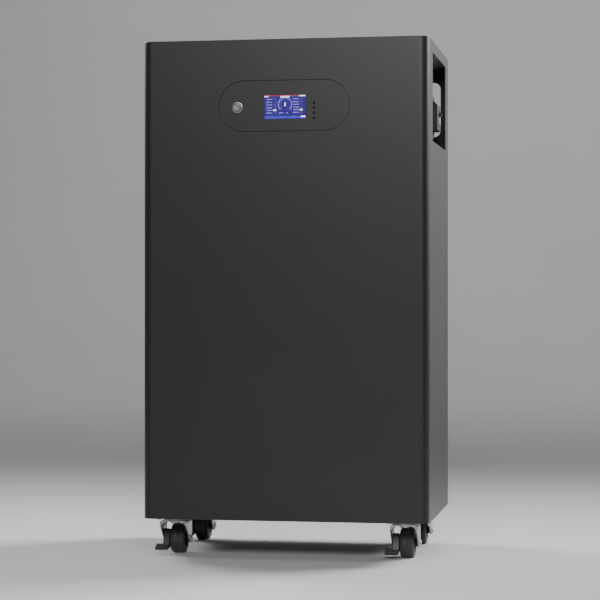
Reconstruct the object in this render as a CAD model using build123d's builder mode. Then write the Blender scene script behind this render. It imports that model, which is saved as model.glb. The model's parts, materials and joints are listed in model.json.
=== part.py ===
from build123d import *
import os

# Floor-standing lithium iron phosphate rack battery on four braked swivel casters.
# Millimetres, +Z up, front towards -Y. The origin is on the floor under the cabinet's middle.

os.makedirs("parts", exist_ok=True)

# ---------------------------------------------------------------- driving dimensions

WIDTH = 482.0  # cabinet, side to side
DEPTH = 322.0  # cabinet, front to back
HEIGHT = 800.0  # cabinet, without the casters
CASTER_H = 66.0  # floor to cabinet
SHEET = 1.5  # folded steel sheet
EDGE_R = 15.0  # bend of the cabinet's front vertical edges
TOP_EDGE_R = 1.2

# side windows and the pockets behind them
WINDOW_Y = (-100.5, 115.5)
WINDOW_Z = (CASTER_H + 632.0, CASTER_H + 780.0)
POCKET_DEEP = 76.5  # side sheet's outer face to the pocket's inner face
REAR_HOLE_W, REAR_HOLE_H, REAR_HOLE_R = 50.0, 100.0, 13.0
REAR_HOLE_X = 204.0
GROMMET_WALL = 1.0

# control panel
PILL_W, PILL_H = 220.0, 84.0
PILL_Z = CASTER_H + 689.0
PILL_GAP = 0.8  # shadow gap between the panel and the shell
PILL_SINK = 0.4  # how far the panel lies behind the shell's face
SCREEN_W, SCREEN_H, SCREEN_X, SCREEN_Z = 69.8, 40.0, 1.0, PILL_Z - 2.0
BUTTON_X, BUTTON_Z, BUTTON_R = -78.7, PILL_Z - 1.6, 9.1
BUTTON_TRAVEL = 2.0
KEY_X, KEY_R, KEY_GAP, KEY_PITCH, KEY_COUNT = 50.3, 1.6, 0.3, 8.4, 4
KEY_MID_Z = PILL_Z - 8.5
KEY_PROUD = 0.6

# electrical side of the right pocket
BREAKER_Y, BREAKER_W = 82.0, 52.0
BREAKER_Z = (CASTER_H + 636.0, CASTER_H + 741.0)
TOGGLE_R = 9.0
PIN_R, PIN_FREE, SHANK_R = 4.0, 28.0, 5.0
PIN_Y = (-78.0, -38.0)
POSITIVE_Z, NEGATIVE_Z = 806.0, 768.0
STUD_R, STUD_FREE = 3.0, 14.0
STUD_Y, STUD_Z = -4.0, 722.0
PORT_COUNT, PORT_PITCH, PORT_W, PORT_H, PORT_DEEP = 3, 20.0, 12.0, 8.4, 12.0
PORTS_Y, PORTS_Z = -56.0, 726.0

# sixteen prismatic cells, lying down in two columns of eight
CELL_W, CELL_L, CELL_T = 174.0, 204.0, 72.0
CELL_LEVELS, LEVEL_PITCH, COLUMN_X = 8, 73.0, 89.0
STACK_Z = 80.0
POLE_X, POLE_R, POLE_H = 56.0, 8.0, 3.0
BUSBAR_T, BUSBAR_W = 2.5, 24.0

# casters
WHEEL_R, WHEEL_W = 25.0, 24.0
WHEEL_SIDE = 3.0  # wheel's middle, to the right of its fork's, to leave room for the brake
CASTER_X, CASTER_Y, TRAIL = 197.0, 94.0, 16.0
FORK_W, FORK_T = 46.6, 2.5
CROWN_Z = (56.0, 58.5)
PLATE_W, PLATE_T = 62.0, 2.5
KINGPIN_R, AXLE_R = 6.0, 3.0
RUNNING = 0.06  # radial clearance of a running fit
BODY_GAP = 0.3  # between faces that pass each other

# ---------------------------------------------------------------- worked out from those

FRONT_Y, BACK_Y = -DEPTH / 2, DEPTH / 2
FLANGE_Y = BACK_Y - SHEET  # inner face of the rear panel
INNER_Y = FLANGE_Y - SHEET  # front face of the shell's rear flanges
BASE_Z, TOP_Z = CASTER_H, CASTER_H + HEIGHT
LID_Z = TOP_Z - SHEET
SIDE_X = WIDTH / 2 - SHEET  # inner face of the side sheets
POCKET_X = WIDTH / 2 - POCKET_DEEP  # inner face of the pocket
SHELF_Z = WINDOW_Z[0] - 12.0  # top of the shelf over the cells
REAR_HOLE_Z = CASTER_H + 708.6
PANEL_Y = FRONT_Y + PILL_SINK  # face of the control panel
PANEL_BACK_Y = FRONT_Y + 3.5
FLANGE_W = 10.0  # shell's inward rear flanges
LIP_H = 16.0  # upturned and downturned edges of base and lid
SCREW_R = 2.0
SCREW_X = SIDE_X - FLANGE_W / 2
SCREW_ROWS = [CASTER_H + h for h in (38, 151, 264, 377, 490, 603, 772)]
CROSS_SCREW_X = (-150.0, 0.0, 150.0)
CASTERS = [
    (f"caster_{side}", sx * CASTER_X - WHEEL_SIDE, sy * CASTER_Y)
    for side, sx, sy in (
        ("front_left", -1, -1),
        ("front_right", 1, -1),
        ("rear_left", -1, 1),
        ("rear_right", 1, 1),
    )
]
PLATE_Z = BASE_Z - PLATE_T
BOLT_SPAN = PLATE_W - 16.0


def facing(y):
    """A plane across the cabinet at depth y: its x is +X, its y is +Z, its normal is -Y."""
    return Plane.XZ.offset(-y)


def sideways(x):
    """A plane along the cabinet at x: its x is +Y, its y is +Z, its normal is +X."""
    return Plane.YZ.offset(x)


def block(low, high, mode=Mode.ADD):
    """A box between two opposite corners, in the current part."""
    size = [b - a for a, b in zip(low, high)]
    middle = tuple((a + b) / 2 for a, b in zip(low, high))
    with Locations(middle):
        Box(*size, mode=mode)


def rod(start, direction, radius, length, mode=Mode.ADD):
    """A round bar or hole from start along direction, in the current part."""
    with Locations(Plane(start, z_dir=direction)):
        Cylinder(radius, length, align=(Align.CENTER, Align.CENTER, Align.MIN), mode=mode)


def cabinet_plan(z, inset, back_y):
    """The cabinet's plan at height z, set in by inset, with round front corners."""
    front_y = FRONT_Y + inset
    with BuildSketch(Plane.XY.offset(z)) as plan:
        with Locations((0, (front_y + back_y) / 2)):
            Rectangle(WIDTH - 2 * inset, back_y - front_y)
        fillet(plan.vertices().group_by(Axis.Y)[0], EDGE_R - inset)
    return plan.sketch


def rounded_window(y, wide, high, radius, x, z):
    """An upright rectangle with round corners, on the plane across the cabinet at y."""
    with BuildSketch(facing(y)) as outline:
        with Locations((x, z)):
            RectangleRounded(wide, high, radius)
    return outline.sketch


def pill(y, grow):
    """The control panel's stadium outline, larger by grow all round."""
    with BuildSketch(facing(y)) as outline:
        with Locations((0, PILL_Z)):
            SlotOverall(PILL_W + 2 * grow, PILL_H + 2 * grow)
    return outline.sketch


# ---------------------------------------------------------------- cabinet

# One sheet wraps the front and both sides, with inward flanges for the rear panel.
with BuildPart() as front_shell:
    extrude(cabinet_plan(BASE_Z, 0, FLANGE_Y), amount=HEIGHT - SHEET)
    extrude(cabinet_plan(BASE_Z, SHEET, FLANGE_Y), amount=HEIGHT - SHEET, mode=Mode.SUBTRACT)
    for side in (-1, 1):
        with Locations((side * SCREW_X, FLANGE_Y - SHEET / 2, (BASE_Z + LID_Z) / 2)):
            Box(FLANGE_W, SHEET, HEIGHT - SHEET)
        for z in SCREW_ROWS:
            rod((side * SCREW_X, INNER_Y, z), (0, 1, 0), SCREW_R, SHEET, mode=Mode.SUBTRACT)
    with BuildSketch(sideways(-WIDTH)):
        with Locations((sum(WINDOW_Y) / 2, sum(WINDOW_Z) / 2)):
            Rectangle(WINDOW_Y[1] - WINDOW_Y[0], WINDOW_Z[1] - WINDOW_Z[0])
    extrude(amount=2 * WIDTH, mode=Mode.SUBTRACT)
    extrude(pill(FRONT_Y, PILL_GAP), amount=-SHEET, mode=Mode.SUBTRACT)
front_shell.part.label = "front_shell"
export_step(front_shell.part, "parts/front_shell.step")

# The lid closes the top; its lip sits inside the shell.
with BuildPart() as top_lid:
    extrude(cabinet_plan(LID_Z, 0, BACK_Y), amount=SHEET)
    fillet(top_lid.faces().sort_by(Axis.Z)[-1].outer_wire().edges(), TOP_EDGE_R)
    extrude(cabinet_plan(LID_Z - LIP_H, SHEET, INNER_Y), amount=LIP_H)
    extrude(cabinet_plan(LID_Z - LIP_H, 2 * SHEET, INNER_Y - SHEET), amount=LIP_H, mode=Mode.SUBTRACT)
    for x in CROSS_SCREW_X:
        rod((x, INNER_Y - SHEET, LID_Z - LIP_H / 2), (0, 1, 0), SCREW_R, SHEET, mode=Mode.SUBTRACT)
top_lid.part.label = "top_lid"
export_step(top_lid.part, "parts/top_lid.step")

# The base tray carries the cells and the casters.
with BuildPart() as base_tray:
    extrude(cabinet_plan(BASE_Z, SHEET, INNER_Y), amount=LIP_H)
    extrude(cabinet_plan(BASE_Z + 2, 2 * SHEET, INNER_Y - SHEET), amount=LIP_H, mode=Mode.SUBTRACT)
    for x in CROSS_SCREW_X:
        rod((x, INNER_Y - SHEET, BASE_Z + LIP_H / 2), (0, 1, 0), SCREW_R, SHEET, mode=Mode.SUBTRACT)
    for _, x, y in CASTERS:
        with Locations((x, y, BASE_Z + 1)):
            with GridLocations(BOLT_SPAN, BOLT_SPAN, 2, 2):
                Cylinder(3.2, 4, mode=Mode.SUBTRACT)
base_tray.part.label = "base_tray"
export_step(base_tray.part, "parts/base_tray.step")

# The rear panel has a cable hole behind each pocket.
with BuildPart() as rear_panel:
    block((-WIDTH / 2, FLANGE_Y, BASE_Z), (WIDTH / 2, BACK_Y, LID_Z))
    for side in (-1, 1):
        x = side * REAR_HOLE_X
        hole = rounded_window(BACK_Y, REAR_HOLE_W, REAR_HOLE_H, REAR_HOLE_R, x, REAR_HOLE_Z)
        extrude(hole, amount=-SHEET, mode=Mode.SUBTRACT)
        extrude(hole, amount=SHEET, mode=Mode.SUBTRACT)
        for z in SCREW_ROWS:
            rod((side * SCREW_X, FLANGE_Y, z), (0, 1, 0), SCREW_R + 0.2, SHEET, mode=Mode.SUBTRACT)
    for x in CROSS_SCREW_X:
        for z in (BASE_Z + LIP_H / 2, LID_Z - LIP_H / 2):
            rod((x, FLANGE_Y, z), (0, 1, 0), SCREW_R + 0.2, SHEET, mode=Mode.SUBTRACT)
rear_panel.part.label = "rear_panel"
export_step(rear_panel.part, "parts/rear_panel.step")

# Soft edge trim lines both cable holes.
with BuildPart() as rear_grommets:
    for side in (-1, 1):
        x = side * REAR_HOLE_X
        w, h, r = REAR_HOLE_W, REAR_HOLE_H, REAR_HOLE_R
        lip = rounded_window(BACK_Y + 1.2, w + 4, h + 4, r + 2, x, REAR_HOLE_Z)
        sleeve = rounded_window(BACK_Y + 1.2, w, h, r, x, REAR_HOLE_Z)
        clear = rounded_window(BACK_Y + 1.2, w - 2, h - 2, r - GROMMET_WALL, x, REAR_HOLE_Z)
        extrude(lip, amount=1.2)
        extrude(sleeve, amount=4.2)
        extrude(clear, amount=4.2, mode=Mode.SUBTRACT)
rear_grommets.part.label = "rear_grommets"
export_step(rear_grommets.part, "parts/rear_grommets.step")

# The shelf parts the cells from the electronics above them.
with BuildPart() as bay_shelf:
    extrude(cabinet_plan(SHELF_Z - SHEET, SHEET, INNER_Y), amount=SHEET)
    block((-60, 115, SHELF_Z - 2), (60, 145, SHELF_Z + 1), mode=Mode.SUBTRACT)
bay_shelf.part.label = "bay_shelf"
export_step(bay_shelf.part, "parts/bay_shelf.step")


def pocket_walls(side):
    """A tray behind one side window: floor, roof, front and inner wall, open to side and rear."""
    x_wall, x_side = side * (POCKET_X - SHEET), side * SIDE_X
    low = (min(x_wall, x_side), WINDOW_Y[0] - SHEET, WINDOW_Z[0] - SHEET)
    high = (max(x_wall, x_side), INNER_Y, WINDOW_Z[1] + SHEET)
    block(low, high)
    x_in, x_out = side * POCKET_X, side * WIDTH / 2
    low = (min(x_in, x_out), WINDOW_Y[0], WINDOW_Z[0])
    high = (max(x_in, x_out), BACK_Y, WINDOW_Z[1])
    block(low, high, mode=Mode.SUBTRACT)


PINS = [(y, z) for z in (POSITIVE_Z, NEGATIVE_Z) for y in PIN_Y]
CABLE_R = 5.0
FUSE_Z = SHELF_Z + 34.0
LINK_Y = (PIN_Y[0] - 12, 10.0)
LINE_Z = POSITIVE_Z - 8.0  # cable from the breaker to the positive pins

with BuildPart() as io_tray:
    pocket_walls(1)
    for y, z in PINS:
        rod((POCKET_X - SHEET, y, z), (1, 0, 0), 9.0, SHEET, mode=Mode.SUBTRACT)
    for z in (FUSE_Z, LINE_Z):
        rod((POCKET_X - SHEET, BREAKER_Y, z), (1, 0, 0), CABLE_R + 1, SHEET, mode=Mode.SUBTRACT)
io_tray.part.label = "io_tray"
export_step(io_tray.part, "parts/io_tray.step")

with BuildPart() as grip_tray:
    pocket_walls(-1)
grip_tray.part.label = "grip_tray"
export_step(grip_tray.part, "parts/grip_tray.step")

# Pan-head screws hold the rear panel to the shell's flanges, the lid and the base.
with BuildPart() as housing_screws:
    places = [(side * SCREW_X, z) for side in (-1, 1) for z in SCREW_ROWS]
    places += [(x, z) for x in CROSS_SCREW_X for z in (BASE_Z + LIP_H / 2, LID_Z - LIP_H / 2)]
    for x, z in places:
        rod((x, BACK_Y - 7, z), (0, 1, 0), SCREW_R, 7)
        rod((x, BACK_Y, z), (0, 1, 0), 1.75 * SCREW_R, 2)
    fillet(housing_screws.faces().filter_by(Axis.Y).group_by(Axis.Y)[-1].edges(), 0.9)
    for x, z in places:
        with Locations((x, BACK_Y + 2, z)):
            Box(4.2, 1.2, 0.8, mode=Mode.SUBTRACT)
            Box(0.8, 1.2, 4.2, mode=Mode.SUBTRACT)
housing_screws.part.label = "housing_screws"
export_step(housing_screws.part, "parts/housing_screws.step")

# ---------------------------------------------------------------- control panel

KEY_ZS = [KEY_MID_Z + KEY_PITCH * (i - (KEY_COUNT - 1) / 2) for i in reversed(range(KEY_COUNT))]
BARREL_R, FLANGE_T = 8.0, 2.6
BORE_R = 6.8
CAP_L = 16.0
CAP_PROUD = 5.2  # cap's face in front of the shell
BOARD_Y = PANEL_BACK_Y + 8.0
POSTS = [(x, z) for x in (-98.0, 98.0) for z in (PILL_Z - 12, PILL_Z + 12)]

with BuildPart() as control_bezel:
    extrude(pill(PANEL_Y, 0), amount=-(PANEL_BACK_Y - PANEL_Y))
    extrude(pill(FRONT_Y + SHEET, 7), amount=-(PANEL_BACK_Y - FRONT_Y - SHEET))
    fillet(control_bezel.faces().sort_by(Axis.Y)[0].outer_wire().edges(), 0.5)
    with BuildSketch(facing(PANEL_Y)):
        with Locations((SCREEN_X, SCREEN_Z)):
            RectangleRounded(SCREEN_W + 0.4, SCREEN_H + 0.4, 0.5)
        with Locations((BUTTON_X, BUTTON_Z)):
            Circle(BARREL_R + 0.1)
        with Locations(*[(KEY_X, z) for z in KEY_ZS]):
            Circle(KEY_R + KEY_GAP)
    extrude(amount=-(PANEL_BACK_Y - PANEL_Y), mode=Mode.SUBTRACT)
    for x, z in POSTS:
        rod((x, PANEL_BACK_Y, z), (0, 1, 0), 3.5, BOARD_Y - PANEL_BACK_Y)
control_bezel.part.label = "control_bezel"
export_step(control_bezel.part, "parts/control_bezel.step")

# The display hangs behind the panel; its front face is the lit area.
with BuildPart() as display_module:
    block(
        (SCREEN_X - SCREEN_W / 2 - 5, PANEL_BACK_Y, SCREEN_Z - SCREEN_H / 2 - 6),
        (SCREEN_X + SCREEN_W / 2 + 5, BOARD_Y, SCREEN_Z + SCREEN_H / 2 + 6),
    )
    block(
        (SCREEN_X - SCREEN_W / 2, PANEL_BACK_Y - 1.2, SCREEN_Z - SCREEN_H / 2),
        (SCREEN_X + SCREEN_W / 2, PANEL_BACK_Y, SCREEN_Z + SCREEN_H / 2),
    )
display_module.part.label = "display_module"
export_step(display_module.part, "parts/display_module.step")

with BuildPart() as display_lens:
    block(
        (SCREEN_X - SCREEN_W / 2, PANEL_Y + 0.3, SCREEN_Z - SCREEN_H / 2),
        (SCREEN_X + SCREEN_W / 2, PANEL_BACK_Y - 1.2, SCREEN_Z + SCREEN_H / 2),
    )
    fillet(display_lens.edges().filter_by(Axis.Y), 0.8)
display_lens.part.label = "display_lens"
export_step(display_lens.part, "parts/display_lens.step")

# Metal push button: a flanged barrel, its nut and a sliding cap.
with BuildPart() as power_button_body:
    rod((BUTTON_X, PANEL_Y - FLANGE_T, BUTTON_Z), (0, 1, 0), BUTTON_R, FLANGE_T)
    fillet(power_button_body.edges().filter_by(GeomType.CIRCLE).sort_by(Axis.Y)[0], 0.9)
    rod((BUTTON_X, PANEL_Y, BUTTON_Z), (0, 1, 0), BARREL_R, 25)
    bore = CAP_L + BUTTON_TRAVEL
    rod((BUTTON_X, PANEL_Y - FLANGE_T, BUTTON_Z), (0, 1, 0), BORE_R, bore, mode=Mode.SUBTRACT)
    for x in (BUTTON_X - 3, BUTTON_X + 3):
        block((x - 0.4, PANEL_Y + 25, BUTTON_Z - 1.5), (x + 0.4, PANEL_Y + 31, BUTTON_Z + 1.5))
power_button_body.part.label = "power_button_body"
export_step(power_button_body.part, "parts/power_button_body.step")

with BuildPart() as power_button_nut:
    with BuildSketch(facing(PANEL_BACK_Y + 4)):
        with Locations((BUTTON_X, BUTTON_Z)):
            RegularPolygon(11.0, 6, major_radius=False)
            Circle(BARREL_R + 0.02, mode=Mode.SUBTRACT)
    extrude(amount=4)
power_button_nut.part.label = "power_button_nut"
export_step(power_button_nut.part, "parts/power_button_nut.step")

with BuildPart() as power_button_cap:
    rod((BUTTON_X, FRONT_Y - CAP_PROUD, BUTTON_Z), (0, 1, 0), BORE_R - RUNNING, CAP_L)
    fillet(power_button_cap.edges().filter_by(GeomType.CIRCLE).sort_by(Axis.Y)[0], 0.7)
power_button_cap.part.label = "power_button_cap"
export_step(power_button_cap.part, "parts/power_button_cap.step")

# Four menu keys beside the display, each with a collar that keeps it behind the panel.
for number, z in enumerate(KEY_ZS, start=1):
    with BuildPart() as nav_key:
        rod((KEY_X, PANEL_Y - KEY_PROUD, z), (0, 1, 0), KEY_R, BOARD_Y - 2.6 - PANEL_Y + KEY_PROUD)
        fillet(nav_key.edges().filter_by(GeomType.CIRCLE).sort_by(Axis.Y)[0], 0.3)
        rod((KEY_X, PANEL_BACK_Y + BODY_GAP, z), (0, 1, 0), KEY_R + 0.9, 1.0)
    nav_key.part.label = f"nav_key_{number}"
    export_step(nav_key.part, f"parts/nav_key_{number}.step")

# The board behind the panel, with a tact switch under each key.
with BuildPart() as control_board:
    block((-108, BOARD_Y, PILL_Z - 26), (108, BOARD_Y + 1.6, PILL_Z + 26))
    rod((BUTTON_X, BOARD_Y, BUTTON_Z), (0, 1, 0), BARREL_R + 1, 1.6, mode=Mode.SUBTRACT)
    for z in KEY_ZS:
        block((KEY_X - 3, BOARD_Y - 1.4, z - 3), (KEY_X + 3, BOARD_Y, z + 3))
    for x in (-40, 0, 40):
        block((x - 6, BOARD_Y + 1.6, PILL_Z - 14), (x + 6, BOARD_Y + 4, PILL_Z - 4))
    block((60, BOARD_Y + 1.6, PILL_Z - 8), (90, BOARD_Y + 9, PILL_Z + 2))
control_board.part.label = "control_board"
export_step(control_board.part, "parts/control_board.step")

# ---------------------------------------------------------------- connections in the right pocket

BREAKER_FACE_X = WIDTH / 2 - 8.0
TOGGLE_X, TOGGLE_Z = BREAKER_FACE_X - TOGGLE_R - 0.5, CASTER_H + 686.0
SHOULDER_X = BREAKER_FACE_X - 11.0
NOSE_Z = (CASTER_H + 664.0, CASTER_H + 708.0)
SLOT_W = 14.0

# Moulded breaker: a stepped case with a raised nose that the toggle turns in.
with BuildPart() as breaker_body:
    with BuildSketch(facing(BREAKER_Y + BREAKER_W / 2)):
        with BuildLine():
            Polyline(
                (POCKET_X, BREAKER_Z[0]),
                (SHOULDER_X - 8, BREAKER_Z[0]),
                (SHOULDER_X - 8, BREAKER_Z[0] + 16),
                (SHOULDER_X, BREAKER_Z[0] + 16),
                (SHOULDER_X, NOSE_Z[0]),
                (BREAKER_FACE_X, NOSE_Z[0]),
                (BREAKER_FACE_X, NOSE_Z[1]),
                (SHOULDER_X, NOSE_Z[1] + 11),
                (SHOULDER_X, NOSE_Z[1] + 17),
                (SHOULDER_X - 8, NOSE_Z[1] + 17),
                (SHOULDER_X - 8, BREAKER_Z[1]),
                (POCKET_X, BREAKER_Z[1]),
                close=True,
            )
        make_face()
    extrude(amount=BREAKER_W)
    fillet(breaker_body.faces().sort_by(Axis.X)[-1].edges(), 1.0)
    slot_y = BREAKER_Y - SLOT_W / 2
    rod((TOGGLE_X, slot_y, TOGGLE_Z), (0, 1, 0), TOGGLE_R + BODY_GAP, SLOT_W, mode=Mode.SUBTRACT)
    block(
        (TOGGLE_X, slot_y, TOGGLE_Z - 15),
        (BREAKER_FACE_X + 1, BREAKER_Y + SLOT_W / 2, TOGGLE_Z + 15),
        mode=Mode.SUBTRACT,
    )
    rod((TOGGLE_X, BREAKER_Y - 16, TOGGLE_Z), (0, 1, 0), 2.5 + RUNNING, 32, mode=Mode.SUBTRACT)
    for z in (BREAKER_Z[0] + 8, BREAKER_Z[1] - 8):
        for y in (BREAKER_Y - 13, BREAKER_Y + 13):
            rod((SHOULDER_X - 14, y, z), (1, 0, 0), 4.5, 8, mode=Mode.SUBTRACT)
breaker_body.part.label = "breaker_body"
export_step(breaker_body.part, "parts/breaker_body.step")

with BuildPart() as breaker_toggle:
    half = SLOT_W / 2 - BODY_GAP
    rod((TOGGLE_X, BREAKER_Y - half, TOGGLE_Z), (0, 1, 0), TOGGLE_R, 2 * half)
    rod((TOGGLE_X, BREAKER_Y - 15.5, TOGGLE_Z), (0, 1, 0), 2.5, 31)
    lever_plane = Plane(
        (TOGGLE_X, BREAKER_Y + half, TOGGLE_Z),
        x_dir=(1, 0, 0),
        z_dir=(0, -1, 0),
    ).rotated((0, -30, 0))
    with BuildSketch(lever_plane):
        with Locations((TOGGLE_R / 2 + 3.5, 0)):
            Rectangle(TOGGLE_R + 7, 6)
    extrude(amount=2 * half)
    fillet(breaker_toggle.edges().filter_by(Axis.Y).sort_by(Axis.X)[-1], 1.2)
breaker_toggle.part.label = "breaker_toggle"
export_step(breaker_toggle.part, "parts/breaker_toggle.step")


def pin_terminals(z):
    """A pair of round contact pins through the pocket's wall, with a collar and a rear nut."""
    for y in PIN_Y:
        rod((POCKET_X - 16, y, z), (1, 0, 0), SHANK_R, 26)
        rod((POCKET_X + 10, y, z), (1, 0, 0), PIN_R, PIN_FREE)
        rod((POCKET_X - 11.5, y, z), (1, 0, 0), 7.5, 4)


def pin_bases(z):
    """Insulating bushes that carry the pins in the pocket's wall."""
    for y in PIN_Y:
        rod((POCKET_X, y, z), (1, 0, 0), 15.0, 6)
        rod((POCKET_X + 6, y, z), (1, 0, 0), 10.0, 4)
        rod((POCKET_X - 7.5, y, z), (1, 0, 0), 9.0, 7.5)
        rod((POCKET_X - 7.5, y, z), (1, 0, 0), SHANK_R, 17.5, mode=Mode.SUBTRACT)


with BuildPart() as positive_terminals:
    pin_terminals(POSITIVE_Z)
    chamfer(positive_terminals.edges().filter_by(GeomType.CIRCLE).group_by(Axis.X)[-1], 0.8)
positive_terminals.part.label = "positive_terminals"
export_step(positive_terminals.part, "parts/positive_terminals.step")

with BuildPart() as negative_terminals:
    pin_terminals(NEGATIVE_Z)
    chamfer(negative_terminals.edges().filter_by(GeomType.CIRCLE).group_by(Axis.X)[-1], 0.8)
negative_terminals.part.label = "negative_terminals"
export_step(negative_terminals.part, "parts/negative_terminals.step")

with BuildPart() as positive_bases:
    pin_bases(POSITIVE_Z)
positive_bases.part.label = "positive_bases"
export_step(positive_bases.part, "parts/positive_bases.step")

with BuildPart() as negative_bases:
    pin_bases(NEGATIVE_Z)
negative_bases.part.label = "negative_bases"
export_step(negative_bases.part, "parts/negative_bases.step")

# Three data sockets in one block.
with BuildPart() as comm_ports:
    half = PORT_COUNT * PORT_PITCH / 2 + 2
    block((POCKET_X, PORTS_Y - half, PORTS_Z - 10), (POCKET_X + 15, PORTS_Y + half, PORTS_Z + 10))
    fillet(comm_ports.edges().filter_by(Axis.X), 2)
    with BuildSketch(sideways(POCKET_X + 15)):
        with Locations((PORTS_Y, PORTS_Z)):
            with GridLocations(PORT_PITCH, 0, PORT_COUNT, 1):
                Rectangle(PORT_W, PORT_H)
    extrude(amount=-PORT_DEEP, mode=Mode.SUBTRACT)
comm_ports.part.label = "comm_ports"
export_step(comm_ports.part, "parts/comm_ports.step")

# Earth stud with its nut.
with BuildPart() as ground_stud:
    with BuildSketch(sideways(POCKET_X)):
        with Locations((STUD_Y, STUD_Z)):
            RegularPolygon(5.0, 6, major_radius=False)
    extrude(amount=5)
    rod((POCKET_X + 5, STUD_Y, STUD_Z), (1, 0, 0), STUD_R, STUD_FREE)
    chamfer(ground_stud.edges().filter_by(GeomType.CIRCLE).sort_by(Axis.X)[-1], 0.6)
ground_stud.part.label = "ground_stud"
export_step(ground_stud.part, "parts/ground_stud.step")

# ---------------------------------------------------------------- cells and power path

CELL_BACK_Y = CELL_L / 2 - 2
CELL_CENTRE_Y = CELL_BACK_Y - CELL_L / 2
LEVELS = [STACK_Z + LEVEL_PITCH * (i + 0.5) for i in range(CELL_LEVELS)]
STACK_TOP = STACK_Z + LEVEL_PITCH * CELL_LEVELS
BUSBAR_Y = CELL_BACK_Y + POLE_H

with BuildPart() as battery_cells:
    for column in (-COLUMN_X, COLUMN_X):
        for z in LEVELS:
            with Locations((column, CELL_CENTRE_Y, z)):
                Box(CELL_W, CELL_L, CELL_T)
    fillet(battery_cells.edges().filter_by(Axis.Y), 3)
    for column in (-COLUMN_X, COLUMN_X):
        for z in LEVELS:
            for x in (-POLE_X, POLE_X):
                rod((column + x, CELL_BACK_Y, z), (0, 1, 0), POLE_R, POLE_H)
battery_cells.part.label = "battery_cells"
export_step(battery_cells.part, "parts/battery_cells.step")

with BuildPart() as cell_spacers:
    for column in (-COLUMN_X, COLUMN_X):
        for z in LEVELS[1:]:
            with Locations((column, CELL_CENTRE_Y, z - LEVEL_PITCH / 2)):
                Box(CELL_W - 8, CELL_L - 8, LEVEL_PITCH - CELL_T)
cell_spacers.part.label = "cell_spacers"
export_step(cell_spacers.part, "parts/cell_spacers.step")

# Bars join the cells in series: up one column, across the top and down the other.
with BuildPart() as copper_busbars:
    for column in (-1, 1):
        for i in range(CELL_LEVELS - 1):
            outward = column if i % 2 == 0 else -column
            x = column * COLUMN_X + outward * POLE_X
            block(
                (x - BUSBAR_W / 2, BUSBAR_Y, LEVELS[i] - BUSBAR_W / 2),
                (x + BUSBAR_W / 2, BUSBAR_Y + BUSBAR_T, LEVELS[i + 1] + BUSBAR_W / 2),
            )
    inner_x = COLUMN_X - POLE_X + BUSBAR_W / 2
    block(
        (-inner_x, BUSBAR_Y, LEVELS[-1] - BUSBAR_W / 2),
        (inner_x, BUSBAR_Y + BUSBAR_T, LEVELS[-1] + BUSBAR_W / 2),
    )
    for z in (POSITIVE_Z, NEGATIVE_Z):
        block((POCKET_X - 15, LINK_Y[0], z - 10), (POCKET_X - 11.5, LINK_Y[1], z + 10))
        for y in PIN_Y:
            rod((POCKET_X - 15, y, z), (1, 0, 0), SHANK_R, 3.5, mode=Mode.SUBTRACT)
copper_busbars.part.label = "copper_busbars"
export_step(copper_busbars.part, "parts/copper_busbars.step")

ROD_X, ROD_Y, ROD_R = 186.0, 80.0, 4.0
END_PLATE_T = 5.0
ROD_PLACES = [(x, y) for x in (-ROD_X, ROD_X) for y in (-ROD_Y, ROD_Y)]

with BuildPart() as pack_end_plates:
    for z in (STACK_Z - END_PLATE_T, STACK_TOP):
        block((-ROD_X - 9, CELL_CENTRE_Y - 92, z), (ROD_X + 9, CELL_CENTRE_Y + 92, z + END_PLATE_T))
        for x, y in ROD_PLACES:
            rod((x, y, z), (0, 0, 1), ROD_R + 0.2, END_PLATE_T, mode=Mode.SUBTRACT)
    fillet(pack_end_plates.edges().filter_by(Axis.Z).filter_by(GeomType.LINE), 8)
pack_end_plates.part.label = "pack_end_plates"
export_step(pack_end_plates.part, "parts/pack_end_plates.step")

with BuildPart() as pack_tie_rods:
    for x, y in ROD_PLACES:
        low_z = STACK_Z - END_PLATE_T - 4
        rod((x, y, low_z), (0, 0, 1), ROD_R, STACK_TOP + END_PLATE_T + 8 - low_z)
        for z in (low_z, STACK_TOP + END_PLATE_T):
            rod((x, y, z), (0, 0, 1), 7, 4)
pack_tie_rods.part.label = "pack_tie_rods"
export_step(pack_tie_rods.part, "parts/pack_tie_rods.step")

with BuildPart() as pack_rails:
    for y in (-45, 45):
        block((-200, y - 15, BASE_Z + 2), (200, y + 15, STACK_Z - END_PLATE_T))
        block((-201, y - 12, BASE_Z + 1), (201, y + 12, STACK_Z - END_PLATE_T - 2), mode=Mode.SUBTRACT)
pack_rails.part.label = "pack_rails"
export_step(pack_rails.part, "parts/pack_rails.step")

BMS_X, BMS_Y, BMS_H = 120.0, 60.0, 40.0
FIN_COUNT, FIN_PITCH = 13, 9.0

with BuildPart() as bms_module:
    block((-BMS_X, -BMS_Y, SHELF_Z), (BMS_X, BMS_Y, SHELF_Z + BMS_H))
    with Locations((0, 0, SHELF_Z + BMS_H + 6)):
        with GridLocations(0, FIN_PITCH, 1, FIN_COUNT):
            Box(2 * BMS_X - 20, 2.5, 12)
bms_module.part.label = "bms_module"
export_step(bms_module.part, "parts/bms_module.step")

FUSE_X = (72.0, 122.0)
with BuildPart() as main_fuse:
    rod((FUSE_X[0], BREAKER_Y, FUSE_Z), (1, 0, 0), 9, 4)
    rod((FUSE_X[0] + 4, BREAKER_Y, FUSE_Z), (1, 0, 0), 13, FUSE_X[1] - FUSE_X[0] - 8)
    rod((FUSE_X[1] - 4, BREAKER_Y, FUSE_Z), (1, 0, 0), 9, 4)
    block((FUSE_X[0] + 8, BREAKER_Y - 13, SHELF_Z), (FUSE_X[1] - 8, BREAKER_Y + 13, FUSE_Z - 5))
main_fuse.part.label = "main_fuse"
export_step(main_fuse.part, "parts/main_fuse.step")


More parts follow.
